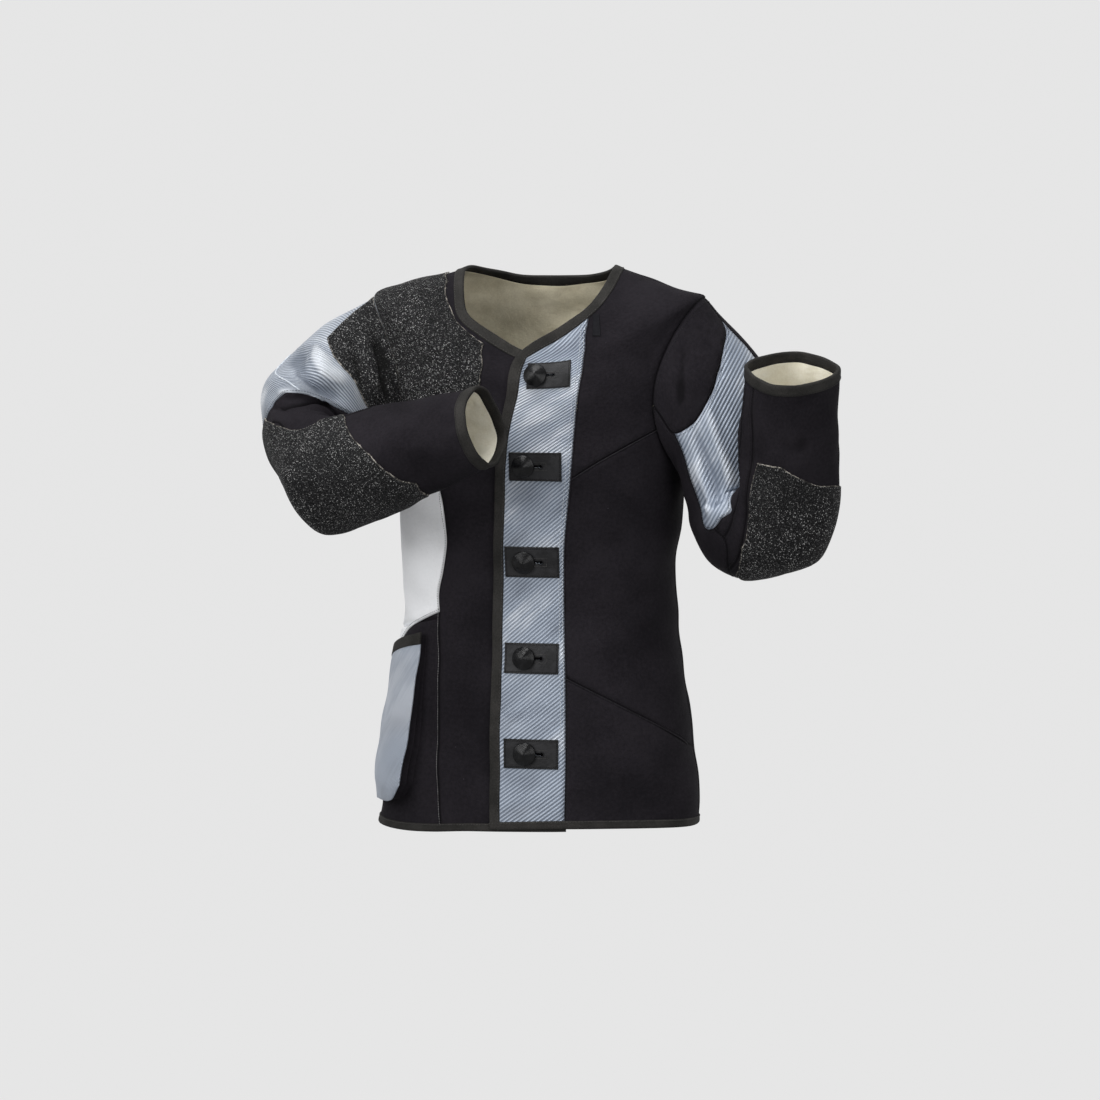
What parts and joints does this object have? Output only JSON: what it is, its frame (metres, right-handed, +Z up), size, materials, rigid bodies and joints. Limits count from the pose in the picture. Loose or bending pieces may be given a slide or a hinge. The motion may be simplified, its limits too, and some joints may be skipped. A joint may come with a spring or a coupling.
{
  "type": "shooting jacket",
  "caption": "Fitted target-shooting jacket, filled out as worn, with bent sleeves, buttoned front, grip patches and hip pocket.",
  "frame": {"origin": "centre of the neck opening, level with the side-neck points, where the jacket hangs on the shoulders", "axes": "+Z up, -Y the buttoned front, +X the wearer's left"},
  "size_m": [0.695, 0.401, 0.679],
  "materials": {
    "black_canvas": "matt stiff plain-weave canvas",
    "silver_twill": "ribbed twill with a low sheen",
    "grey_canvas": "matt plain-weave canvas",
    "grip_cloth": "pebbled rubber-faced cloth, matt, with raw frayed edges",
    "binding_tape": "matt folded cotton tape",
    "tan_lining": "soft brushed cotton",
    "plate_leather": "smooth leather, semi-matt",
    "button_plastic": "polished",
    "woven_tag": "matt woven tape, blank"
  },
  "bodies": {
    "root": {"back": "black_canvas", "front_left_upper": "black_canvas", "front_left_middle": "black_canvas", "front_left_lower": "black_canvas", "placket": "silver_twill", "front_right": "black_canvas", "side_right_upper": "grey_canvas", "side_right_lower": "black_canvas", "binding_front_edge": "binding_tape", "binding_neck": "binding_tape", "binding_hem": "binding_tape", "binding_cuff_left": "binding_tape", "binding_cuff_right": "binding_tape", "lining_back_neck": "tan_lining", "lining_cuff_left": "tan_lining", "lining_cuff_right": "tan_lining", "grip_shoulder_right": "grip_cloth", "grip_wing_right": "grip_cloth", "grip_elbow_right": "grip_cloth", "grip_elbow_left": "grip_cloth", "tag": "woven_tag", "button_plate_1": "plate_leather", "button_plate_2": "plate_leather", "button_plate_3": "plate_leather", "button_plate_4": "plate_leather", "button_plate_5": "plate_leather", "button_1": "button_plastic", "button_2": "button_plastic", "button_3": "button_plastic", "button_4": "button_plastic", "button_5": "button_plastic", "pocket_front": "silver_twill", "pocket_band": "binding_tape", "pocket_gusset": "black_canvas", "sleeve_left_cap": "black_canvas", "sleeve_left_silver": "silver_twill", "sleeve_left_under": "black_canvas", "sleeve_left_strip": "black_canvas", "sleeve_left_forearm": "black_canvas", "sleeve_right_silver": "silver_twill", "sleeve_right_under": "black_canvas", "sleeve_right_gusset": "black_canvas", "sleeve_right_forearm": "black_canvas"}
  },
  "joints": []
}
